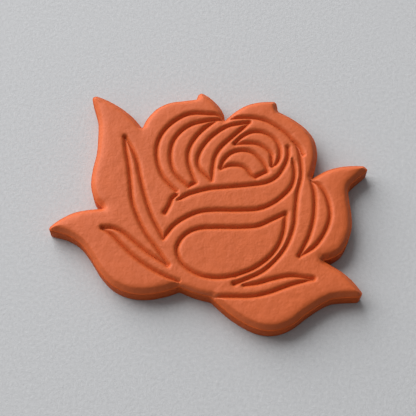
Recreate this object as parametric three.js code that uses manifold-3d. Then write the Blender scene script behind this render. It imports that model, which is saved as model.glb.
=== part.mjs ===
// A rose tile of polymer clay, cut out and pressed by a clay cutter.
// Millimetres, +Z up. The bloom opens towards +Y, and the tile lies flat on the plane Z = 0.
// The origin is under the middle of the tile, on its flat back.
//
// The tile is two sheets of clay, one on the other. The lower sheet has straight cut sides.
// The upper sheet carries the drawing: every line of it is a pressed groove with a narrow
// floor and sloping sides. Its rim slopes up from the lower sheet and rolls over into a
// shoulder. Both sheets share one outline.

import * as THREE from 'three';
import { mergeVertices } from 'three/addons/utils/BufferGeometryUtils.js';
import Module from 'manifold-3d';

const wasm = await Module();
wasm.setup();

// Driving dimensions
const tile_width = 45;          // from the tip of one lower leaf to the tip of the other
const base_thickness = 2.5;     // the lower sheet, with the straight sides
const layer_thickness = 0.9;    // the upper sheet, with the drawing
const ledge_width = 0.06;       // the strip of the lower sheet that shows beside the upper one
const rim_run = 0.58;           // how far the rim slopes inwards, seen from above
const rim_rise = 0.64;          // how high that slope climbs
const shoulder_run = 0.65;      // from the top of that slope to the flat face, seen from above
const groove_depth = 0.55;      // the pressed lines
const groove_half_width = 0.62; // from a line's middle to the top face beside it
const floor_half_width = 0.06;  // the narrow floor of a pressed line
const outline_step = 0.65;      // the longest straight stretch of the outline
const line_step = 0.9;          // the longest straight stretch of a pressed line
const end_sides = 6;            // the sides of a round end, half a circle
const run_on = 0.2;             // how far the rim is pressed on past a corner that stands out
const clear_above = 0.5;        // how far a press reaches past the faces that it cuts
const weld_tolerance = 1e-5;    // corners closer than this are one corner
const clay_colour = '#cb6741';
const clay_shade = '#8a4126';

// The width that the drawing below measures, and the scale that brings it to size
const drawn_width = 45;
const drawing_scale = tile_width / drawn_width;

// The outline, clockwise from the tip of the upper left leaf. Each stretch is a smooth
// curve through its points, and two stretches meet in a corner.
const outline_stretches = [
  // Upper left leaf, top edge
  [[-20.25, 14.62], [-18.17, 14.16], [-16.17, 13.41], [-14.16, 12.31], [-12.3, 10.8]],
  // Outer petal on the left, up to its tip
  [[-12.3, 10.8], [-11.95, 12.53], [-10.9, 14.5], [-9.3, 15.85], [-7.4, 16.6], [-5.5, 17.3]],
  [[-5.5, 17.3], [-5.47, 18.13]],
  [[-5.47, 18.13], [-5.0, 18.53]],
  [[-5.0, 18.53], [-3.5, 17.9], [-2.0, 16.8], [-1.0, 15.6], [-0.7, 14.6]],
  // Outer petal on the right, up to its tip and down its back
  [[-0.7, 14.6], [0.5, 16.4], [2.0, 17.9], [3.8, 18.85], [5.85, 19.4]],
  [[5.85, 19.4], [6.25, 19.15]],
  [[6.25, 19.15], [6.75, 17.85]],
  [[6.75, 17.85], [9.0, 17.1], [11.25, 15.92], [12.88, 14.25], [13.7, 12.0], [13.78, 9.8], [13.6, 8.0]],
  // Upper right leaf
  [[13.6, 8.0], [15.3, 9.65], [17.2, 10.75], [19.0, 11.35], [20.65, 11.68]],
  [[20.65, 11.68], [21.32, 11.2]],
  [[21.32, 11.2], [20.35, 9.85], [19.3, 8.3], [19.1, 7.2], [19.5, 5.65], [20.15, 3.6], [20.5, 1.6],
    [20.33, -0.4], [19.75, -2.25], [18.65, -3.45], [17.4, -4.15]],
  // Lower right leaf
  [[17.4, -4.15], [18.97, -4.72], [20.55, -5.38], [22.13, -6.4], [23.6, -7.75]],
  [[23.6, -7.75], [23.25, -8.4]],
  [[23.25, -8.4], [21.3, -8.9], [19.5, -9.55], [17.93, -10.87], [16.5, -12.43], [14.95, -14.26],
    [13.03, -15.53], [10.8, -15.92], [8.38, -15.46], [5.75, -14.35], [3.15, -12.78]],
  // Foot of the bloom
  [[3.15, -12.78], [0.97, -12.69], [-1.42, -12.24]],
  // Lower left leaf
  [[-1.42, -12.24], [-3.28, -13.37], [-5.6, -14.3], [-8.0, -14.6], [-10.45, -14.07], [-12.67, -12.55],
    [-14.65, -10.52], [-16.6, -8.85], [-18.8, -8.05], [-21.35, -7.9]],
  [[-21.35, -7.9], [-21.4, -7.45]],
  [[-21.4, -7.45], [-20.37, -6.08], [-18.7, -4.6], [-16.77, -3.68], [-14.7, -3.0]],
  // Upper left leaf, outer edge
  [[-14.7, -3.0], [-16.15, -2.0], [-17.3, 0.1], [-17.7, 2.6], [-17.8, 5.2], [-18.2, 7.5],
    [-18.8, 10.0], [-19.7, 12.0], [-20.72, 13.8]],
  [[-20.72, 13.8], [-20.75, 14.3], [-20.25, 14.62]],
];

// The pressed lines. Each is a smooth curve through its points.
const pressed_lines = [
  // Outer petals on the left of the bud
  [[-1.05, 14.5], [-1.8, 15.1], [-3.2, 14.95], [-5.2, 14.6], [-6.6, 13.9], [-7.9, 12.55], [-8.85, 11.0],
    [-9.35, 9.2], [-9.25, 7.2], [-8.5, 5.15], [-7.2, 3.3], [-5.05, 1.7]],
  [[-1.05, 14.5], [-2.3, 14.1], [-3.7, 13.5], [-5.1, 12.75], [-6.3, 11.5], [-7.1, 9.9], [-7.3, 8.2],
    [-6.95, 6.35], [-6.1, 4.7], [-5.0, 3.7], [-3.5, 2.8]],
  [[-3.5, 2.8], [-2.65, 3.55]],
  [[-2.0, 14.0], [-3.2, 12.45], [-4.15, 10.75], [-4.7, 8.7], [-4.5, 6.9], [-3.75, 5.3], [-2.65, 3.55]],
  [[2.95, 14.9], [1.6, 14.3], [0.2, 13.65], [-1.1, 12.4], [-2.25, 10.75], [-3.0, 8.8], [-3.1, 7.1],
    [-2.4, 5.75], [-0.45, 4.45]],
  [[2.95, 14.9], [2.2, 13.6], [1.1, 12.0], [-0.2, 9.95], [-0.75, 8.2], [-0.7, 6.6], [-0.45, 4.45]],
  // The bud
  [[1.6, 10.9], [2.35, 12.2], [3.6, 13.3], [5.2, 13.65], [6.9, 13.1], [8.0, 11.9], [8.4, 10.3],
    [8.15, 9.1], [7.6, 8.55]],
  [[1.6, 10.9], [2.9, 11.3], [4.6, 11.6], [5.9, 11.3], [7.0, 10.6], [7.35, 9.7], [7.6, 8.55]],
  [[0.45, 6.6], [0.6, 7.9], [1.4, 9.25], [2.8, 10.05], [4.4, 10.05], [5.75, 9.25], [6.75, 8.2],
    [7.05, 7.5]],
  [[7.05, 7.5], [5.65, 6.3]],
  [[0.45, 6.6], [1.6, 7.3], [3.0, 7.6], [4.1, 7.3], [5.0, 6.5], [5.65, 6.3]],
  // The long line down the right side of the bloom
  [[0.2, 14.95], [2.1, 15.5], [4.2, 15.75], [6.2, 15.4], [8.5, 14.3], [9.9, 13.2], [10.8, 12.25],
    [11.5, 10.3], [12.05, 7.9], [12.0, 5.2], [12.2, 2.6], [12.45, 0.15], [12.15, -2.6], [11.3, -5.0],
    [9.7, -7.5], [7.7, -9.2], [5.95, -10.4]],
  [[9.9, 13.2], [10.9, 12.4], [11.65, 11.3]],
  // The three sweeps across the bloom
  [[9.3, 12.0], [9.6, 10.5], [9.35, 8.8], [8.65, 7.0], [7.3, 5.75], [5.1, 4.85], [2.2, 3.9],
    [-0.5, 3.0], [-2.7, 1.85], [-3.7, 1.1], [-4.55, 0.25]],
  [[-4.85, 1.15], [-5.35, 0.3], [-5.5, -0.75], [-5.85, -2.0]],
  [[10.3, 10.2], [11.0, 8.3], [11.05, 6.2], [10.3, 4.5], [8.9, 2.75], [7.0, 1.4], [4.0, 0.55],
    [1.0, -0.1], [-1.1, -0.85], [-2.9, -2.2], [-4.2, -3.75], [-5.15, -5.85]],
  [[10.95, 1.55], [9.2, 0.15], [7.5, -1.15], [5.0, -1.95], [1.8, -2.65], [-0.7, -3.4], [-2.3, -4.75],
    [-2.95, -6.6], [-2.5, -8.05], [-1.2, -9.35], [1.1, -10.15], [3.6, -10.0], [5.9, -9.15]],
  [[5.9, -9.15], [8.1, -7.65], [9.9, -5.6], [10.9, -3.45], [11.2, -1.2], [10.95, 1.55]],
  // Veins of the upper left leaf
  [[-14.3, 8.5], [-13.7, 6.6], [-12.75, 4.3], [-11.75, 1.5], [-10.8, -1.2], [-9.3, -3.7],
    [-7.5, -5.9], [-5.6, -7.6], [-3.65, -9.62]],
  [[-14.3, 8.5], [-13.0, 7.05], [-11.75, 5.25], [-10.55, 2.6], [-9.15, -0.2], [-7.4, -3.1],
    [-5.15, -5.85]],
  // Veins of the lower left leaf
  [[-13.9, -6.15], [-12.5, -5.85], [-10.9, -6.2], [-9.0, -7.2], [-6.5, -8.55], [-3.65, -9.62]],
  [[-13.9, -6.15], [-12.1, -7.0], [-10.4, -8.2], [-8.3, -9.5], [-6.0, -10.55], [-3.6, -11.3],
    [-1.6, -11.65]],
  // Veins of the upper right leaf
  [[13.55, 7.55], [14.4, 5.5], [14.85, 3.2], [15.0, 1.0], [14.75, -1.5], [14.0, -4.4]],
  [[13.55, 7.55], [14.9, 6.95], [16.0, 5.7], [16.75, 4.2], [17.2, 2.3], [16.9, -0.1], [15.85, -2.55],
    [14.0, -4.4]],
  // Veins of the lower right leaf
  [[7.3, -10.3], [9.2, -9.6], [11.4, -8.4], [13.6, -7.5], [16.5, -7.3]],
  [[3.55, -12.8], [6.1, -12.25], [8.7, -11.65], [11.0, -10.6], [13.6, -8.9], [16.5, -7.3]],
];

// Points along a smooth curve, at most step apart
function samplePoints(points, step) {
  const curve = new THREE.SplineCurve(points.map(([x, y]) => new THREE.Vector2(x, y)
    .multiplyScalar(drawing_scale)));
  return curve.getSpacedPoints(Math.ceil(curve.getLength() / step));
}

const outline_parts = outline_stretches.map((points) => samplePoints(points, outline_step));
const outline = outline_parts.flatMap((part) => part.slice(0, -1)).reverse();
const middle = new THREE.Box2().setFromPoints(outline).getCenter(new THREE.Vector2());

// A closed mesh as a solid, and a solid as geometry
function toSolid(geometry) {
  geometry.deleteAttribute('normal');
  geometry.deleteAttribute('uv');
  const merged = mergeVertices(geometry, weld_tolerance);
  return new wasm.Manifold(new wasm.Mesh({
    numProp: 3,
    vertProperties: new Float32Array(merged.attributes.position.array),
    triVerts: new Uint32Array(merged.index.array),
  }));
}

function toGeometry(solid) {
  const mesh = solid.getMesh();
  const geometry = new THREE.BufferGeometry();
  geometry.setAttribute('position', new THREE.BufferAttribute(mesh.vertProperties, 3));
  geometry.setIndex(new THREE.BufferAttribute(mesh.triVerts, 1));
  return geometry;
}

// The tool that presses one line. Its section runs from the groove's floor to above the top
// face, as [distance from the line, height], and each pair makes one closed loop round the
// line: out along its left side, round the far end, back along its right side, round the near
// end. An end that isn't round is cut off square.
function loopRound(line, distance, round_start, round_end) {
  const last = line.length - 1;
  const directions = line.map((point, i) => line[Math.min(i + 1, last)].clone()
    .sub(line[Math.max(i - 1, 0)]).normalize());
  const beside = (i, side) => new THREE.Vector2(-directions[i].y, directions[i].x)
    .multiplyScalar(side * distance).add(line[i]);
  const arc = (i, side) => Array.from({ length: end_sides - 1 }, (_, k) => beside(i, side)
    .rotateAround(line[i], -Math.PI * (k + 1) / end_sides));
  return [
    ...line.map((_, i) => beside(i, 1)),
    ...(round_end ? arc(last, 1) : []),
    ...line.map((_, i) => beside(last - i, -1)),
    ...(round_start ? arc(0, -1) : []),
  ];
}

function pressLine(line, section, round_start, round_end) {
  const loops = section.map(([distance]) => loopRound(line, distance, round_start, round_end));
  const count = loops[0].length;
  const right_end = line.length + (round_end ? end_sides - 1 : 0);
  const right_start = right_end + line.length - 1;

  // One flat face of the tool: a strip between the two sides, and a fan at each round end
  const face = [];
  for (let i = 0; i + 1 < line.length; i += 1) {
    face.push([i, i + 1, right_start - i - 1], [i, right_start - i - 1, right_start - i]);
  }
  for (let i = line.length; i < right_end; i += 1) face.push([line.length - 1, i, i + 1]);
  for (let i = right_start + 1; i < count; i += 1) face.push([right_start, i, (i + 1) % count]);

  const index = face.flatMap(([p, q, r]) => [p, q, r]);
  const top = (section.length - 1) * count;
  index.push(...face.flatMap(([p, q, r]) => [top + p, top + r, top + q]));
  for (let k = 0; k + 1 < section.length; k += 1) {
    for (let i = 0; i < count; i += 1) {
      const p = k * count + i;
      const q = k * count + (i + 1) % count;
      index.push(p, p + count, q + count, p, q + count, q);
    }
  }
  const geometry = new THREE.BufferGeometry();
  const corners = loops.flatMap((loop, k) => loop.flatMap((point) => [point.x, point.y, section[k][1]]));
  geometry.setAttribute('position', new THREE.Float32BufferAttribute(corners, 3));
  geometry.setIndex(index);
  return toSolid(geometry);
}

// A flat sheet of the outline's shape
function cutSheet(thickness) {
  const shape = new THREE.Shape(outline);
  return new THREE.ExtrudeGeometry(shape, { depth: thickness, bevelEnabled: false });
}

// The sections of the pressed rim and of a pressed line, each from its lowest corner up
const top_face = base_thickness + layer_thickness;
const rim_edge = ledge_width + rim_run;
const shoulder_edge = rim_edge + shoulder_run;
const rim_section = [
  [ledge_width, base_thickness - clear_above],
  [ledge_width, base_thickness],
  [rim_edge, base_thickness + rim_rise],
  [shoulder_edge, top_face],
  [shoulder_edge, top_face + clear_above],
];
const line_section = [
  [floor_half_width, top_face - groove_depth],
  [groove_half_width, top_face],
  [groove_half_width, top_face + clear_above],
];

// Whether the outline's corner at the start of a stretch is a notch
function bendsIn(i) {
  const before = outline_parts.at((i - 1) % outline_parts.length);
  const after = outline_parts[i % outline_parts.length];
  const arriving = before.at(-1).clone().sub(before.at(-2));
  const leaving = after[1].clone().sub(after[0]);
  return arriving.cross(leaving) > 0;
}

// The rim beside one stretch of the outline. It runs on past a corner that stands out, and
// goes round the far side of a notch.
function pressRim(part, i) {
  const line = part.map((point) => point.clone());
  const moveOn = (end, neighbour) => end.add(end.clone().sub(neighbour).setLength(run_on));
  if (!bendsIn(i)) moveOn(line[0], line[1]);
  if (!bendsIn(i + 1)) moveOn(line.at(-1), line.at(-2));
  return pressLine(line, rim_section, false, bendsIn(i + 1));
}

// One line of the drawing. Where it ends on an earlier line's end, that one's round end serves both.
function pressDrawing(points, i) {
  const earlier_ends = pressed_lines.slice(0, i).flatMap((line) => [line.at(0), line.at(-1)]);
  const isNew = ([x, y]) => !earlier_ends.some((end) => end[0] === x && end[1] === y);
  const line = samplePoints(points, line_step);
  return pressLine(line, line_section, isNew(points.at(0)), isNew(points.at(-1)));
}

// The upper sheet, with its rim and its lines pressed in
function upperSheet() {
  const sheet = toSolid(cutSheet(layer_thickness).translate(0, 0, base_thickness));
  const presses = [...outline_parts.map(pressRim), ...pressed_lines.map(pressDrawing)];
  return sheet.subtract(wasm.Manifold.union(presses));
}

function addSheet(group, name, solid, colour) {
  const material = new THREE.MeshStandardMaterial({ color: colour, roughness: 0.7, metalness: 0 });
  const mesh = new THREE.Mesh(toGeometry(solid), material);
  mesh.name = name;
  group.add(mesh);
}

const tile = new THREE.Group();
tile.position.set(-middle.x, -middle.y, 0);
addSheet(tile, 'base_layer', toSolid(cutSheet(base_thickness)), clay_shade);
addSheet(tile, 'embossed_layer', upperSheet(), clay_colour);

export default tile;
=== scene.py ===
# %% [markdown]
# # A rose tile of polymer clay, cut and pressed
# The real tile began as a sheet of terracotta-coloured polymer clay, rolled flat. A cutter shaped
# like a rose cut it out and pressed the drawing into it in one push, and then it was baked. What
# the eye meets is one matte material, so the shape has to do the work: a straight cut side, a thin
# ledge above it, a sloping rim, and pressed lines whose walls catch the light or lose it.
#
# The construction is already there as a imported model, in metres and with +Z up. It is loaded
# first, and its boxes give the width and the heights that everything below is fitted to.

# %% Load the frame
import math

import bpy
import numpy as np
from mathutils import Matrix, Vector, geometry


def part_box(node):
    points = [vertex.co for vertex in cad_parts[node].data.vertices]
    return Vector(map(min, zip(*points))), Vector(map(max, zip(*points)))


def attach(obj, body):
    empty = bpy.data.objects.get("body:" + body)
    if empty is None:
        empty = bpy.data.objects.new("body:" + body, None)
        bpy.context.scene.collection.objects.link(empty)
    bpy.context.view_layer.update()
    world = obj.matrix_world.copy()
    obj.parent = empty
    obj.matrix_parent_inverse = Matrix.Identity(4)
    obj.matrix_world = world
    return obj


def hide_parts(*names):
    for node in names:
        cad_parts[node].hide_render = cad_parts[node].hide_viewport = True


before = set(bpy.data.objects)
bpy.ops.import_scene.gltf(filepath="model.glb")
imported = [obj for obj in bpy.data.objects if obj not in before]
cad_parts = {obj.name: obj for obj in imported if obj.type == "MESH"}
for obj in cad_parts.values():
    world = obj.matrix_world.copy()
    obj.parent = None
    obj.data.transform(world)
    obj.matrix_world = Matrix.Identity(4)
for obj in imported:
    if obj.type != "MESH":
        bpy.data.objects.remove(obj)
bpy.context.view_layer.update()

MM = 0.001
base_low, base_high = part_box("base_layer")
upper_low, upper_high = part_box("embossed_layer")
tile_width = (base_high.x - base_low.x) / MM
table_height = base_low.z / MM
ledge_height = base_high.z / MM
top_height = upper_high.z / MM
print(f"tile {tile_width:.2f} mm wide, ledge at {ledge_height:.2f} mm, top at {top_height:.2f} mm")

# %% [markdown]
# ## The drawing
# The outline runs clockwise from the tip of the upper left leaf. Each stretch is a smooth curve
# through a few chosen points, in millimetres, and two stretches meet in a corner: the tips of the
# leaves and petals, and the notches between them. The pressed lines are curves of the same kind.
# The construction uses the same points, so the fine surface lands on the plain one.

# %% The outline's points
drawn_width = 45
drawing_scale = tile_width / drawn_width

outline_stretches = [
    # Upper left leaf, top edge
    [(-20.25, 14.62), (-18.17, 14.16), (-16.17, 13.41), (-14.16, 12.31), (-12.3, 10.8)],
    # Outer petal on the left, up to its tip
    [(-12.3, 10.8), (-11.95, 12.53), (-10.9, 14.5), (-9.3, 15.85), (-7.4, 16.6), (-5.5, 17.3)],
    [(-5.5, 17.3), (-5.47, 18.13)],
    [(-5.47, 18.13), (-5.0, 18.53)],
    [(-5.0, 18.53), (-3.5, 17.9), (-2.0, 16.8), (-1.0, 15.6), (-0.7, 14.6)],
    # Outer petal on the right, up to its tip and down its back
    [(-0.7, 14.6), (0.5, 16.4), (2.0, 17.9), (3.8, 18.85), (5.85, 19.4)],
    [(5.85, 19.4), (6.25, 19.15)],
    [(6.25, 19.15), (6.75, 17.85)],
    [(6.75, 17.85), (9.0, 17.1), (11.25, 15.92), (12.88, 14.25), (13.7, 12.0), (13.78, 9.8),
     (13.6, 8.0)],
    # Upper right leaf
    [(13.6, 8.0), (15.3, 9.65), (17.2, 10.75), (19.0, 11.35), (20.65, 11.68)],
    [(20.65, 11.68), (21.32, 11.2)],
    [(21.32, 11.2), (20.35, 9.85), (19.3, 8.3), (19.1, 7.2), (19.5, 5.65), (20.15, 3.6),
     (20.5, 1.6), (20.33, -0.4), (19.75, -2.25), (18.65, -3.45), (17.4, -4.15)],
    # Lower right leaf
    [(17.4, -4.15), (18.97, -4.72), (20.55, -5.38), (22.13, -6.4), (23.6, -7.75)],
    [(23.6, -7.75), (23.25, -8.4)],
    [(23.25, -8.4), (21.3, -8.9), (19.5, -9.55), (17.93, -10.87), (16.5, -12.43), (14.95, -14.26),
     (13.03, -15.53), (10.8, -15.92), (8.38, -15.46), (5.75, -14.35), (3.15, -12.78)],
    # Foot of the bloom
    [(3.15, -12.78), (0.97, -12.69), (-1.42, -12.24)],
    # Lower left leaf
    [(-1.42, -12.24), (-3.28, -13.37), (-5.6, -14.3), (-8.0, -14.6), (-10.45, -14.07),
     (-12.67, -12.55), (-14.65, -10.52), (-16.6, -8.85), (-18.8, -8.05), (-21.35, -7.9)],
    [(-21.35, -7.9), (-21.4, -7.45)],
    [(-21.4, -7.45), (-20.37, -6.08), (-18.7, -4.6), (-16.77, -3.68), (-14.7, -3.0)],
    # Upper left leaf, outer edge
    [(-14.7, -3.0), (-16.15, -2.0), (-17.3, 0.1), (-17.7, 2.6), (-17.8, 5.2), (-18.2, 7.5),
     (-18.8, 10.0), (-19.7, 12.0), (-20.72, 13.8)],
    [(-20.72, 13.8), (-20.75, 14.3), (-20.25, 14.62)],
]

# %% The pressed lines' points
pressed_lines = [
    # Outer petals on the left of the bud
    [(-1.05, 14.5), (-1.8, 15.1), (-3.2, 14.95), (-5.2, 14.6), (-6.6, 13.9), (-7.9, 12.55),
     (-8.85, 11.0), (-9.35, 9.2), (-9.25, 7.2), (-8.5, 5.15), (-7.2, 3.3), (-5.05, 1.7)],
    [(-1.05, 14.5), (-2.3, 14.1), (-3.7, 13.5), (-5.1, 12.75), (-6.3, 11.5), (-7.1, 9.9),
     (-7.3, 8.2), (-6.95, 6.35), (-6.1, 4.7), (-5.0, 3.7), (-3.5, 2.8)],
    [(-3.5, 2.8), (-2.65, 3.55)],
    [(-2.0, 14.0), (-3.2, 12.45), (-4.15, 10.75), (-4.7, 8.7), (-4.5, 6.9), (-3.75, 5.3),
     (-2.65, 3.55)],
    [(2.95, 14.9), (1.6, 14.3), (0.2, 13.65), (-1.1, 12.4), (-2.25, 10.75), (-3.0, 8.8),
     (-3.1, 7.1), (-2.4, 5.75), (-0.45, 4.45)],
    [(2.95, 14.9), (2.2, 13.6), (1.1, 12.0), (-0.2, 9.95), (-0.75, 8.2), (-0.7, 6.6),
     (-0.45, 4.45)],
    # The bud
    [(1.6, 10.9), (2.35, 12.2), (3.6, 13.3), (5.2, 13.65), (6.9, 13.1), (8.0, 11.9), (8.4, 10.3),
     (8.15, 9.1), (7.6, 8.55)],
    [(1.6, 10.9), (2.9, 11.3), (4.6, 11.6), (5.9, 11.3), (7.0, 10.6), (7.35, 9.7), (7.6, 8.55)],
    [(0.45, 6.6), (0.6, 7.9), (1.4, 9.25), (2.8, 10.05), (4.4, 10.05), (5.75, 9.25), (6.75, 8.2),
     (7.05, 7.5)],
    [(7.05, 7.5), (5.65, 6.3)],
    [(0.45, 6.6), (1.6, 7.3), (3.0, 7.6), (4.1, 7.3), (5.0, 6.5), (5.65, 6.3)],
    # The long line down the right side of the bloom
    [(0.2, 14.95), (2.1, 15.5), (4.2, 15.75), (6.2, 15.4), (8.5, 14.3), (9.9, 13.2),
     (10.8, 12.25), (11.5, 10.3), (12.05, 7.9), (12.0, 5.2), (12.2, 2.6), (12.45, 0.15),
     (12.15, -2.6), (11.3, -5.0), (9.7, -7.5), (7.7, -9.2), (5.95, -10.4)],
    [(9.9, 13.2), (10.9, 12.4), (11.65, 11.3)],
    # The three sweeps across the bloom
    [(9.3, 12.0), (9.6, 10.5), (9.35, 8.8), (8.65, 7.0), (7.3, 5.75), (5.1, 4.85), (2.2, 3.9),
     (-0.5, 3.0), (-2.7, 1.85), (-3.7, 1.1), (-4.55, 0.25)],
    [(-4.85, 1.15), (-5.35, 0.3), (-5.5, -0.75), (-5.85, -2.0)],
    [(10.3, 10.2), (11.0, 8.3), (11.05, 6.2), (10.3, 4.5), (8.9, 2.75), (7.0, 1.4), (4.0, 0.55),
     (1.0, -0.1), (-1.1, -0.85), (-2.9, -2.2), (-4.2, -3.75), (-5.15, -5.85)],
    [(10.95, 1.55), (9.2, 0.15), (7.5, -1.15), (5.0, -1.95), (1.8, -2.65), (-0.7, -3.4),
     (-2.3, -4.75), (-2.95, -6.6), (-2.5, -8.05), (-1.2, -9.35), (1.1, -10.15), (3.6, -10.0),
     (5.9, -9.15)],
    [(5.9, -9.15), (8.1, -7.65), (9.9, -5.6), (10.9, -3.45), (11.2, -1.2), (10.95, 1.55)],
    # Veins of the upper left leaf
    [(-14.3, 8.5), (-13.7, 6.6), (-12.75, 4.3), (-11.75, 1.5), (-10.8, -1.2), (-9.3, -3.7),
     (-7.5, -5.9), (-5.6, -7.6), (-3.65, -9.62)],
    [(-14.3, 8.5), (-13.0, 7.05), (-11.75, 5.25), (-10.55, 2.6), (-9.15, -0.2), (-7.4, -3.1),
     (-5.15, -5.85)],
    # Veins of the lower left leaf
    [(-13.9, -6.15), (-12.5, -5.85), (-10.9, -6.2), (-9.0, -7.2), (-6.5, -8.55), (-3.65, -9.62)],
    [(-13.9, -6.15), (-12.1, -7.0), (-10.4, -8.2), (-8.3, -9.5), (-6.0, -10.55), (-3.6, -11.3),
     (-1.6, -11.65)],
    # Veins of the upper right leaf
    [(13.55, 7.55), (14.4, 5.5), (14.85, 3.2), (15.0, 1.0), (14.75, -1.5), (14.0, -4.4)],
    [(13.55, 7.55), (14.9, 6.95), (16.0, 5.7), (16.75, 4.2), (17.2, 2.3), (16.9, -0.1),
     (15.85, -2.55), (14.0, -4.4)],
    # Veins of the lower right leaf
    [(7.3, -10.3), (9.2, -9.6), (11.4, -8.4), (13.6, -7.5), (16.5, -7.3)],
    [(3.55, -12.8), (6.1, -12.25), (8.7, -11.65), (11.0, -10.6), (13.6, -8.9), (16.5, -7.3)],
]
print(f"{len(outline_stretches)} stretches of outline and {len(pressed_lines)} pressed lines")

# %% [markdown]
# ## Smooth lines through the points
# A Catmull-Rom curve goes through every point that it is given, which makes it a good choice for
# a traced drawing: a point that looks wrong can be moved by itself. The curve is first laid very
# fine and then measured off in even steps, because even steps give even faces.

# %% A smooth line in even steps
line_step = 0.22         # mm between points along a line, about one and a half pixels
fine_steps = 24          # points per span of the first, uneven curve


def smooth_line(points, step=line_step):
    """A Catmull-Rom curve through the points, in even steps."""
    drawn = np.array(points, float) * drawing_scale
    padded = np.vstack([drawn[:1], drawn, drawn[-1:]])
    t = (np.arange(fine_steps) / fine_steps)[:, None]
    fine = []
    for before, start, end, after in zip(padded, padded[1:], padded[2:], padded[3:]):
        leave, arrive = (end - before) / 2, (after - start) / 2
        fine.append((2 * start - 2 * end + leave + arrive) * t**3
                    + (3 * end - 3 * start - 2 * leave - arrive) * t**2 + leave * t + start)
    fine = np.vstack(fine + [drawn[-1:]])
    travelled = np.append(0, np.cumsum(np.linalg.norm(np.diff(fine, axis=0), axis=1)))
    stops = np.linspace(0, travelled[-1], math.ceil(travelled[-1] / step) + 1)
    return np.stack([np.interp(stops, travelled, fine[:, k]) for k in (0, 1)], axis=1)


stretches = [smooth_line(points) for points in outline_stretches]
outline = np.vstack([stretch[:-1] for stretch in stretches])[::-1]
middle = (outline.min(axis=0) + outline.max(axis=0)) / 2

# Averaging each point with its neighbours takes the knife edge off the corners
outline = (np.roll(outline, 1, axis=0) + 2 * outline + np.roll(outline, -1, axis=0)) / 4 - middle

# The points were picked along the dark side of each line, so the floors lie a little further on
line_shift = (0.03, -0.02)
lines = [smooth_line(points) - middle + line_shift for points in pressed_lines]
print(f"outline of {len(outline)} points, lines of {sum(map(len, lines))} points")

# %% [markdown]
# ## Camera
# The photograph looks down on the tile from 66 degrees above the table and a little from the
# right. The lens is long, so the sides hardly converge. The picture's centre lies on the drawing's
# zero point, just under the tile's top.

# %% Place the camera
view_azimuth = math.radians(12.4)
view_elevation = math.radians(66)
view_distance = 157.2    # mm
aim_height = 3.22        # mm above the table
aim_point = Vector((-middle[0], -middle[1], aim_height)) * MM
towards_camera = Vector((math.sin(view_azimuth) * math.cos(view_elevation),
                         -math.cos(view_azimuth) * math.cos(view_elevation),
                         math.sin(view_elevation)))

camera_data = bpy.data.cameras.new("camera")
camera_data.sensor_width = 36
camera_data.lens = 95.6
camera_data.clip_start = 0.01
camera = bpy.data.objects.new("camera", camera_data)
camera.location = aim_point + towards_camera * view_distance * MM
camera.rotation_euler = (math.pi / 2 - view_elevation, 0, view_azimuth)
bpy.context.scene.collection.objects.link(camera)
bpy.context.scene.camera = camera
print("camera at", [round(x / MM, 1) for x in camera.location], "mm")

# %% [markdown]
# ## The lower sheet
# The cutter's outer blade leaves a straight side. By hand this is a filled circle with as many
# points as the outline, each moved to its place, then extruded upwards. The top edge stays nearly
# sharp and shows as the ledge, and the bottom edge, which was pressed on the worktop, is rounder.

# %% Helpers for a piece that is open in edit mode
def deselect_all():
    bpy.ops.object.select_all(action="DESELECT")


def select_edges(piece, wanted):
    """Selects the edges of the piece in edit mode whose two ends both pass the test."""
    bpy.ops.mesh.select_mode(type="EDGE")
    bpy.ops.mesh.select_all(action="DESELECT")
    bpy.ops.object.mode_set(mode="OBJECT")
    for edge in piece.data.edges:
        edge.select = all(wanted(piece.data.vertices[i].co / MM) for i in edge.vertices)
    bpy.ops.object.mode_set(mode="EDIT")


# %% Cut the lower sheet
foot_rounding = 0.14     # mm
ledge_rounding = 0.04    # mm
near = 0.01              # mm, close enough to count as the same height
sharp_from = math.radians(35)

deselect_all()
bpy.ops.mesh.primitive_circle_add(
    vertices=len(outline), radius=tile_width / 2 * MM, fill_type="NGON")
base_clay = bpy.context.active_object
base_clay.name = base_clay.data.name = "base_clay"
for vertex, (x, y) in zip(base_clay.data.vertices, outline):
    vertex.co = Vector((x, y, table_height)) * MM

bpy.ops.object.mode_set(mode="EDIT")
bpy.ops.mesh.select_all(action="SELECT")
bpy.ops.mesh.extrude_region_move(
    TRANSFORM_OT_translate={"value": (0, 0, (ledge_height - table_height) * MM)})
select_edges(base_clay, lambda place: abs(place.z - table_height) < near)
bpy.ops.mesh.bevel(offset=foot_rounding * MM, segments=3, profile=0.5)
select_edges(base_clay, lambda place: abs(place.z - ledge_height) < near)
bpy.ops.mesh.bevel(offset=ledge_rounding * MM, segments=2, profile=0.5)
bpy.ops.mesh.select_all(action="SELECT")
bpy.ops.mesh.normals_make_consistent(inside=False)
bpy.ops.object.mode_set(mode="OBJECT")
bpy.ops.object.shade_smooth_by_angle(angle=sharp_from)
print(f"lower sheet of {len(base_clay.data.polygons)} faces")

# %% [markdown]
# ## How a line presses the clay
# Cut across, a pressed line is a V with a narrow floor and shoulders that roll over softly,
# because the clay beside a blade is dragged down with it. The rim is plainer: a cut slope up to a
# crease, and above the crease the face still climbs a little, like the crown of a cushion. Each
# point of the upper sheet sinks by how near it lies to the lines and to the outline, so all that
# is needed is a distance, and a curve that turns the distance into a depth.

# %% The depth beside a line
line_depth = 0.64        # mm
line_reach = 0.385       # mm from the middle of a line to where a plain wall would meet the face
line_slope = 1.65        # how steep its walls are
line_softness = 0.18     # mm, how softly a wall rolls over into the face


def soft_ramp(depth, softness):
    """The depth itself where it is deep, zero where it is negative, and a smooth turn between."""
    return softness * np.logaddexp(0, depth / softness)


def line_profile(distance):
    """How deep a line presses the clay at this distance from its middle."""
    return np.minimum(soft_ramp(line_slope * (line_reach - distance), line_softness), line_depth)


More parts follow.
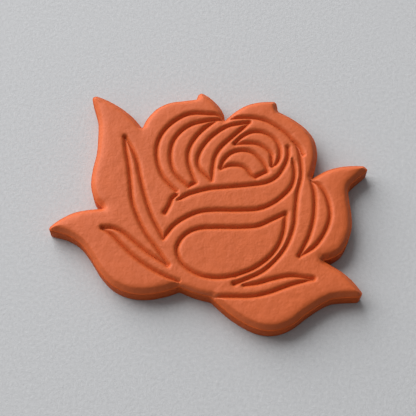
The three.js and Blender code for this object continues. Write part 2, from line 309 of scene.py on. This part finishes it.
shown = np.array([0, 0.2, 0.4, 0.6, 0.8])
print("a line's depth in mm at", shown, "mm from it:", line_profile(shown).round(2))

# %% The depth beside the outline
ledge_width = 0.1        # mm from the outline to the foot of the rim
rim_softness = 0.04      # mm, how softly the rim turns over at the crease
turn_fade = 0.2          # mm in which the turn above the crease falls to about a third
crown_fade = 0.6         # mm in which the crown does
rim_depth = top_height - ledge_height


def rim_profile(distance, run, turn, crown):
    """A plain slope up to the crease, and above it a short turn and a long crown."""
    cut = soft_ramp((rim_depth - turn - crown) / run * (run - distance), rim_softness)
    beyond = np.maximum(distance - run, 0)
    rounded = turn * np.exp(-beyond / turn_fade) + crown * np.exp(-beyond / crown_fade)
    return np.minimum(cut + rounded, rim_depth)


shown = np.array([0, 0.3, 0.6, 1, 2])
print("the rim's depth in mm at", shown, "mm from its foot:",
      rim_profile(shown, run=0.5, turn=0.15, crown=0.15).round(2))

# %% Distances in the drawing
chunk = 2000             # points measured at a time, which keeps the memory small


def distance_to(points, line):
    """The distance from each point to a line of straight steps."""
    start, along = line[:-1], np.diff(line, axis=0)
    found = []
    for i in range(0, len(points), chunk):
        offset = points[i:i + chunk, None] - start
        share = np.clip((offset * along).sum(axis=2) / (along**2).sum(axis=1), 0, 1)
        found.append(np.linalg.norm(offset - share[..., None] * along, axis=2).min(axis=1))
    return np.concatenate(found)


def inside(points, loop):
    """Whether each point lies inside a closed loop, by counting the sides to its right."""
    start, end = loop, np.roll(loop, -1, axis=0)
    found = []
    for i in range(0, len(points), chunk):
        x, y = points[i:i + chunk, 0, None], points[i:i + chunk, 1, None]
        spans = (start[:, 1] > y) != (end[:, 1] > y)
        rise = np.where(end[:, 1] == start[:, 1], 1, end[:, 1] - start[:, 1])
        crossing = start[:, 0] + (y - start[:, 1]) / rise * (end[:, 0] - start[:, 0])
        found.append((spans & (crossing > x)).sum(axis=1) % 2 == 1)
    return np.concatenate(found)


closed_outline = np.vstack([outline, outline[:1]])
line_points = np.vstack(lines)
print(f"{inside(line_points, outline).sum()} of the lines' {len(line_points)} points lie inside,",
      f"the nearest {distance_to(line_points, closed_outline).min():.2f} mm from the outline")

# %% How the rim changes along the outline
# Places of the drawing, clockwise. Beside each stand the run of the plain slope as seen from
# above, the depth of the turn above it, and the depth of the crown, all in mm.
rim_places = [
    (-20.25, 14.62, 0.5, 0.12, 0.12),    # tip of the upper left leaf
    (-16.17, 13.41, 0.51, 0.15, 0.05),   # its top edge
    (-12.3, 10.8, 0.51, 0.15, 0.1),      # notch beside the left petal
    (-9.3, 15.85, 0.51, 0.15, 0.08),     # left petal
    (-0.7, 14.6, 0.51, 0.15, 0.12),      # notch between the petals
    (3.8, 18.85, 0.51, 0.15, 0.08),      # right petal
    (13.7, 12.0, 0.51, 0.16, 0.12),      # back of the right petal
    (19.0, 11.35, 0.51, 0.15, 0.08),     # top of the upper right leaf
    (20.15, 3.6, 0.42, 0.06, 0.34),      # its outer edge
    (20.33, -0.4, 0.42, 0.06, 0.3),
    (17.4, -4.15, 0.51, 0.16, 0.15),     # notch between the right leaves
    (23.6, -7.75, 0.51, 0.15, 0.1),      # tip of the lower right leaf
    (19.5, -9.55, 0.51, 0.16, 0.05),     # its front
    (16.5, -12.43, 0.51, 0.16, 0.2),
    (13.03, -15.53, 0.51, 0.16, 0.08),
    (8.38, -15.46, 0.55, 0.12, 0.0),
    (3.3, -12.88, 0.65, 0.12, 0.0),
    (2.9, -12.78, 0.02, 0.6, 0.24),      # foot of the bloom, rounded over
    (-1.2, -12.28, 0.02, 0.6, 0.24),
    (-1.7, -12.4, 0.5, 0.2, 0.15),       # front of the lower left leaf
    (-5.6, -14.3, 0.51, 0.16, 0.15),
    (-8.0, -14.6, 0.51, 0.16, 0.1),
    (-12.67, -12.55, 0.51, 0.15, 0.03),
    (-16.6, -8.85, 0.51, 0.12, 0.0),
    (-19.8, -8.0, 0.3, 0.3, 0.15),
    (-21.4, -7.7, 0.35, 0.2, 0.2),       # its tip
    (-18.7, -4.6, 0.45, 0.1, 0.3),       # its top
    (-16.15, -2.0, 0.5, 0.12, 0.12),     # outer edge of the upper left leaf
    (-17.7, 2.6, 0.48, 0.1, 0.2),
    (-18.8, 10.0, 0.45, 0.1, 0.3),
    (-20.72, 13.8, 0.45, 0.12, 0.25),
]
outline_steps = np.linalg.norm(np.diff(closed_outline, axis=0), axis=1)
outline_stops = np.append(0, np.cumsum(outline_steps))


def nearest_stop(points):
    """How far along the outline the nearest point of it lies, for each point."""
    found = []
    for i in range(0, len(points), chunk):
        offset = points[i:i + chunk, None] - outline
        found.append(outline_stops[(offset**2).sum(axis=2).argmin(axis=1)])
    return np.concatenate(found)


rim_points = np.array([place[:2] for place in rim_places]) * drawing_scale - middle
rim_stops = nearest_stop(rim_points)


def rim_beside(points):
    """The run, the turn and the crown of the rim that each point is nearest to."""
    stops = nearest_stop(points)
    _, _, runs, turns, crowns = zip(*rim_places)
    return [np.interp(stops, rim_stops, values, period=outline_stops[-1])
            for values in (runs, turns, crowns)]


print(f"the rim is given at {len(rim_places)} places along {outline_stops[-1]:.0f} mm of outline")

# %% [markdown]
# ## The upper sheet
# A plain grid would leave teeth along each groove, because its rows don't run with the lines.
# Modelling tools can't lay rows of points beside a curve either, so the points are laid in code:
# one row on the floor of each line, and more rows on both sides, close together where the wall
# bends. Where two lines come near each other, a point is kept only by the line that it is nearest
# to. A Delaunay triangulation then joins all the points into one sheet.

# %% Collect points that keep their distance
class PointSheet:
    """Points in the plane, sorted into small squares so that a near one is found at once."""

    square = 0.3         # mm

    def __init__(self):
        self.points = []
        self.squares = {}

    def add(self, point, gap):
        """Adds a point and returns its number, or the number of one closer than the gap."""
        column, row = int(point[0] // self.square), int(point[1] // self.square)
        for i in (column - 1, column, column + 1):
            for j in (row - 1, row, row + 1):
                for number in self.squares.get((i, j), ()):
                    x, y = self.points[number]
                    if (x - point[0])**2 + (y - point[1])**2 < gap**2:
                        return number
        self.points.append((float(point[0]), float(point[1])))
        self.squares.setdefault((column, row), []).append(len(self.points) - 1)
        return len(self.points) - 1


def side_directions(line, closed=False):
    """The direction to the left of a line at each of its points."""
    if closed:
        along = np.roll(line, -1, axis=0) - np.roll(line, 1, axis=0)
    else:
        along = np.gradient(line, axis=0)
    along /= np.linalg.norm(along, axis=1)[:, None]
    return np.stack([-along[:, 1], along[:, 0]], axis=1)


# %% Lay the edge and the floors of the lines
edge_gap = 0.04          # mm between neighbours on the edge, at least
floor_gap = 0.1          # mm between neighbours on a line's floor, at least
ledge_share = 0.95       # of the ledge's width: less than that is the fold inside a sharp notch

sheet = PointSheet()
edge_inset = outline + side_directions(outline, closed=True) * ledge_width
edge_inset = edge_inset[distance_to(edge_inset, closed_outline) > ledge_share * ledge_width]
edge = [sheet.add(point, edge_gap) for point in edge_inset]
edge = [number for i, number in enumerate(edge) if number != edge[i - 1]]
joined = list(zip(edge, edge[1:] + edge[:1]))

for line in lines:
    floor = [sheet.add(point, floor_gap) for point in line]
    joined += [(a, b) for a, b in zip(floor, floor[1:]) if a != b]
print(f"{len(edge)} points on the edge, {len(sheet.points)} with the floors")

# %% Lay the rows beside them
# The rows' distances in mm from a line's middle, and from the foot of the rim
line_rows = [0.06, 0.11, 0.17, 0.24, 0.31, 0.38, 0.45, 0.52, 0.6, 0.7, 0.82, 0.96]
rim_rows = [0.05, 0.12, 0.25, 0.38, 0.48, 0.55, 0.61, 0.68, 0.77, 0.88, 1.02, 1.2, 1.42, 1.7, 2.05]
round_end_points = 16    # in the full circle round a line's end
own_share = 0.97         # of a row's distance: a point nearer than that is another line's
row_gap_share = 0.6      # of the step from the row before, between neighbours on a row
edge_loop = np.array([sheet.points[number] for number in edge])
closed_edge = np.vstack([edge_loop, edge_loop[:1]])


def row_beside(line, reach):
    """Points at one distance from a line: on both sides, and round both ends."""
    sides = side_directions(line) * reach
    turns = np.arange(round_end_points) * 2 * math.pi / round_end_points
    ring = np.stack([np.cos(turns), np.sin(turns)], axis=1) * reach
    return np.vstack([line + sides, line - sides, line[0] + ring, line[-1] + ring])


def nearest_line(points):
    """The distance from each point to the line that is nearest to it."""
    return np.min([distance_to(points, line) for line in lines], axis=0)


def add_row(points, reach, previous):
    """Adds the points of a row that no other line or edge is nearer to."""
    points = points[inside(points, edge_loop)]
    nearest = np.minimum(nearest_line(points), distance_to(points, closed_edge))
    for point in points[nearest > own_share * reach]:
        sheet.add(point, row_gap_share * (reach - previous))


for reach, previous in zip(line_rows, [0] + line_rows):
    add_row(np.vstack([row_beside(line, reach) for line in lines]), reach, previous)
rim_sides = side_directions(edge_loop, closed=True)
for reach, previous in zip(rim_rows, [0] + rim_rows):
    add_row(edge_loop + rim_sides * reach, reach, previous)
print(f"{len(sheet.points)} points with the rows beside the lines")

# %% Fill the open faces with a wide mesh of points
fill_step = 0.9          # mm between neighbours
fill_clearance = 0.3     # mm from the lines and the edge
fill_gap = 0.28          # mm from the points of the rows
columns = np.arange(outline[:, 0].min(), outline[:, 0].max(), fill_step)
rows = np.arange(outline[:, 1].min(), outline[:, 1].max(), fill_step * math.sqrt(3) / 2)
fill = np.array([(x + (j % 2) * fill_step / 2, y) for j, y in enumerate(rows) for x in columns])
fill = fill[inside(fill, edge_loop)]
fill = fill[np.minimum(nearest_line(fill), distance_to(fill, closed_edge)) > fill_clearance]
for point in fill:
    sheet.add(point, fill_gap)
points = np.array(sheet.points)
print(f"{len(points)} points in all")

# %% Press the sheet
sharing = 3              # how softly two presses that meet run into each other
deepest = 0.74           # mm, where two lines meet at a point
end_reach = 0.4          # mm in which the change at a line's end dies away

# Places of the drawing where a line's end is deeper or shallower than the line, and by how many mm
line_ends = [
    (-14.3, 8.5, 0.12),      # where two veins of a leaf meet
    (-13.9, -6.15, 0.12),
    (-3.65, -9.62, 0.12),
    (16.5, -7.3, 0.12),
    (5.95, -10.4, 0.12),     # foot of the long line
    (-5.85, -2.0, 0.12),     # foot of the short line on the left
    (-4.55, 0.25, -0.35),    # where the sweeps run out
    (10.3, 10.2, -0.35),
]
end_places = np.array([end[:2] for end in line_ends]) * drawing_scale - middle + line_shift


def pressed_depth(points):
    """How deep each point sinks below the top face, in millimetres."""
    total = np.zeros(len(points))
    for line in lines:
        distance = distance_to(points, line)
        total += line_profile(distance)**sharing
    drawn = total**(1 / sharing)
    for (_, _, change), place in zip(line_ends, end_places):
        drawn += change * np.exp(-(np.linalg.norm(points - place, axis=1) / end_reach)**2)
    drawn = np.clip(drawn, 0, deepest)
    rim = rim_profile(distance_to(points, closed_edge), *rim_beside(points))
    return np.minimum((drawn**sharing + rim**sharing)**(1 / sharing), rim_depth)


heights = top_height - pressed_depth(points)
heights[edge] = ledge_height
print(f"floors at {heights[len(edge):].min():.2f} mm, top at {heights.max():.2f} mm")

# %% Join the points and close the back
whole_hull = 0           # the triangulation's output type, which also fills the notches
same_point = 1e-6        # mm
same_height = 1e-4       # mm
smooth_to = math.radians(50)

flat = [Vector(point) for point in points]
flat, _, faces, *_ = geometry.delaunay_2d_cdt(flat, joined, [], whole_hull, same_point, False)
centres = np.array([sum((flat[i] for i in face), Vector((0, 0))) / 3 for face in faces])
faces = [face for face, is_kept in zip(faces, inside(centres, edge_loop)) if is_kept]
print(f"triangulation: {len(points)} points in, {len(flat)} out, {len(faces)} triangles")
sheet_mesh = bpy.data.meshes.new("embossed_clay")
sheet_mesh.from_pydata([(x * MM, y * MM, z * MM) for (x, y), z in zip(flat, heights)], [], faces)
embossed_clay = bpy.data.objects.new("embossed_clay", sheet_mesh)
bpy.context.scene.collection.objects.link(embossed_clay)

deselect_all()
embossed_clay.select_set(True)
bpy.context.view_layer.objects.active = embossed_clay
bpy.ops.object.mode_set(mode="EDIT")
select_edges(embossed_clay, lambda place: abs(place.z - ledge_height) < same_height)
bpy.ops.mesh.edge_face_add()
bpy.ops.mesh.select_all(action="SELECT")
bpy.ops.mesh.normals_make_consistent(inside=False)
bpy.ops.object.mode_set(mode="OBJECT")
bpy.ops.object.shade_smooth_by_angle(angle=smooth_to)
print(f"upper sheet of {len(embossed_clay.data.polygons)} faces")

# %% [markdown]
# ## Baked polymer clay
# Polymer clay is PVC with a filler and a pigment. Rolled, cut and baked, it is matte: the light
# that it returns is broad and soft, with hardly a highlight. Close up it has a fine, leathery
# grain from the roller and the bake, and its colour is cloudy by a few per cent. The shadows in
# the lines are warm, because their two walls light each other.

# %% One function adds a node
def linear(hex_colour):
    """An sRGB hex value as the linear colour that Blender's sockets take."""
    values = [int(hex_colour[i:i + 2], 16) / 255 for i in (1, 3, 5)]
    return [v / 12.92 if v <= 0.04045 else ((v + 0.055) / 1.055)**2.4 for v in values] + [1]


def add_node(tree, kind, inputs=None, **settings):
    """Adds a node, sets its settings, and fills or links its inputs."""
    node = tree.nodes.new(kind)
    for name, value in settings.items():
        setattr(node, name, value)
    for name, value in (inputs or {}).items():
        if isinstance(value, bpy.types.NodeSocket):
            tree.links.new(value, node.inputs[name])
        else:
            node.inputs[name].default_value = value
    return node


def per_mm(size):
    """The texture scale, in turns per metre, of a pattern of this size in millimetres."""
    return 1 / (size * MM)


# %% Mix the clay
def baked_clay(name, light, dark, streaks, shine):
    """Matte baked clay. Streaks is the strength of the upright drag marks that a blade leaves."""
    material = bpy.data.materials.new(name)
    material.use_nodes = True
    tree = material.node_tree
    tree.nodes.clear()
    place = add_node(tree, "ShaderNodeTexCoord").outputs["Object"]

    # The pigment isn't mixed in quite evenly
    clouds = add_node(tree, "ShaderNodeTexNoise", {
        "Vector": place, "Scale": per_mm(3), "Detail": 6, "Roughness": 0.7})
    colour = add_node(tree, "ShaderNodeMix", {
        "Factor": clouds.outputs[0], "A": linear(dark), "B": linear(light)}, data_type="RGBA")

    # A fine grain, the waves that a roller leaves, and the marks that a blade drags upright
    grain = add_node(tree, "ShaderNodeTexNoise", {
        "Vector": place, "Scale": per_mm(0.35), "Detail": 3, "Roughness": 0.6})
    waves = add_node(tree, "ShaderNodeTexNoise", {
        "Vector": place, "Scale": per_mm(1.2), "Detail": 2, "Roughness": 0.5})
    upright = add_node(tree, "ShaderNodeMapping", {"Vector": place, "Scale": (1, 1, 0.06)})
    drag = add_node(tree, "ShaderNodeTexNoise", {
        "Vector": upright.outputs["Vector"], "Scale": per_mm(0.45), "Detail": 2, "Roughness": 0.5})

    rough = add_node(tree, "ShaderNodeBump", {
        "Height": grain.outputs[0], "Strength": 1, "Distance": 0.045 * MM})
    wavy = add_node(tree, "ShaderNodeBump", {
        "Height": waves.outputs[0], "Strength": 1, "Distance": 0.1 * MM,
        "Normal": rough.outputs["Normal"]})
    dragged = add_node(tree, "ShaderNodeBump", {
        "Height": drag.outputs[0], "Strength": streaks, "Distance": 0.08 * MM,
        "Normal": wavy.outputs["Normal"]})

    clay = add_node(tree, "ShaderNodeBsdfPrincipled", {
        "Base Color": colour.outputs[2], "Normal": dragged.outputs["Normal"],
        "Roughness": 0.6, "IOR": 1.5, "Specular IOR Level": shine})
    add_node(tree, "ShaderNodeOutputMaterial", {"Surface": clay.outputs[0]})
    return material


pressed_face = baked_clay(
    "pressed_polymer_clay", light="#d4642e", dark="#bc5522", streaks=0.0, shine=0.4)
# The cut side's colours are darker and redder than the face's: painted shade, standing in for the
# shade on the side walls
shaded_cut_side = baked_clay(
    "cut_polymer_clay_painted_shade", light="#cb5a21", dark="#b64d1a", streaks=0.6, shine=0.12)
for piece, material in ((embossed_clay, pressed_face), (base_clay, shaded_cut_side)):
    piece.data.materials.clear()
    piece.data.materials.append(material)
print("clay mixed:", pressed_face.name, "and", shaded_cut_side.name)

# %% [markdown]
# ## The worktop and the light
# The tile lies on pale grey card. One large soft lamp stands to the upper left, low enough for
# the walls of the lines to fall into shade, and the room gives a little more than a quarter of the
# card's light. That leaves the shadow on the card soft, and the shaded walls still coloured.

# %% Lay the card
card_width = 4           # m, so that its edge stays out of sight
card_drop = 0.01         # mm below the tile's back, so that the two faces don't fight

deselect_all()
bpy.ops.mesh.primitive_plane_add(
    size=card_width, location=(0, 0, (table_height - card_drop) * MM))
card = bpy.context.active_object
card.name = "card"
card_material = bpy.data.materials.new("pale_grey_card")
card_material.use_nodes = True
tree = card_material.node_tree
place = add_node(tree, "ShaderNodeTexCoord").outputs["Object"]

# Paper fibres are too thin to show, so this is the mottle that many of them make together
fibres = add_node(tree, "ShaderNodeTexNoise", {
    "Vector": place, "Scale": per_mm(0.5), "Detail": 5, "Roughness": 0.7})
card_bump = add_node(tree, "ShaderNodeBump", {
    "Height": fibres.outputs[0], "Strength": 1, "Distance": 0.055 * MM})
card_colour = add_node(tree, "ShaderNodeMix", {
    "Factor": fibres.outputs[0], "A": linear("#aeafb1"), "B": linear("#cecfd1")}, data_type="RGBA")
card_shader = tree.nodes["Principled BSDF"]
tree.links.new(card_colour.outputs[2], card_shader.inputs["Base Color"])
card_shader.inputs["Roughness"].default_value = 0.9
card_shader.inputs["Specular IOR Level"].default_value = 0.1
tree.links.new(card_bump.outputs["Normal"], card_shader.inputs["Normal"])
card.data.materials.append(card_material)

# %% Light it
lamp_distance = 0.9      # m
lamp_size = 1.125        # m across
lamp_height = math.radians(33)
lamp_azimuth = math.radians(146.155)
lamp_power = 14.6        # W
lamp_data = bpy.data.lights.new("softbox", type="AREA")
lamp_data.shape = "DISK"
lamp_data.size = lamp_size
lamp_data.energy = lamp_power
lamp = bpy.data.objects.new("softbox", lamp_data)
lamp_direction = Vector((math.cos(lamp_azimuth) * math.cos(lamp_height),
                         math.sin(lamp_azimuth) * math.cos(lamp_height),
                         math.sin(lamp_height)))
lamp.location = lamp_direction * lamp_distance
lamp.rotation_euler = lamp_direction.to_track_quat("Z", "Y").to_euler()
bpy.context.scene.collection.objects.link(lamp)

# %% Light the room, brighter on the left
room_strength = 0.286
room_leaning = 0.77      # how much brighter than the middle the left side is
room_azimuth = math.radians(158)
world = bpy.data.worlds.new("room")
world.use_nodes = True
bpy.context.scene.world = world
tree = world.node_tree
direction = add_node(tree, "ShaderNodeTexCoord").outputs["Generated"]
bright_side = [room_strength * room_leaning * math.cos(room_azimuth),
               room_strength * room_leaning * math.sin(room_azimuth), 0]
leaning = add_node(
    tree, "ShaderNodeVectorMath", {0: direction, 1: bright_side}, operation="DOT_PRODUCT")
strength = add_node(tree, "ShaderNodeMath", {0: leaning.outputs["Value"], 1: room_strength})
background = tree.nodes["Background"]
background.inputs["Color"].default_value = (1, 1, 1, 1)
tree.links.new(strength.outputs[0], background.inputs["Strength"])
bpy.context.scene.view_settings.view_transform = "Standard"
print("one soft lamp and the room's light")

# %% [markdown]
# ## Tie the pieces to the tile
# Each fine piece stands for the plain solid of the same place, which is hidden, and rides on the
# one body that the tile is.

# %% Tie the pieces to the frame
for piece, node, slot in ((base_clay, "base_layer", "base_clay"),
                          (embossed_clay, "embossed_layer", "embossed_clay")):
    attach(piece, "root")
    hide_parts(node)
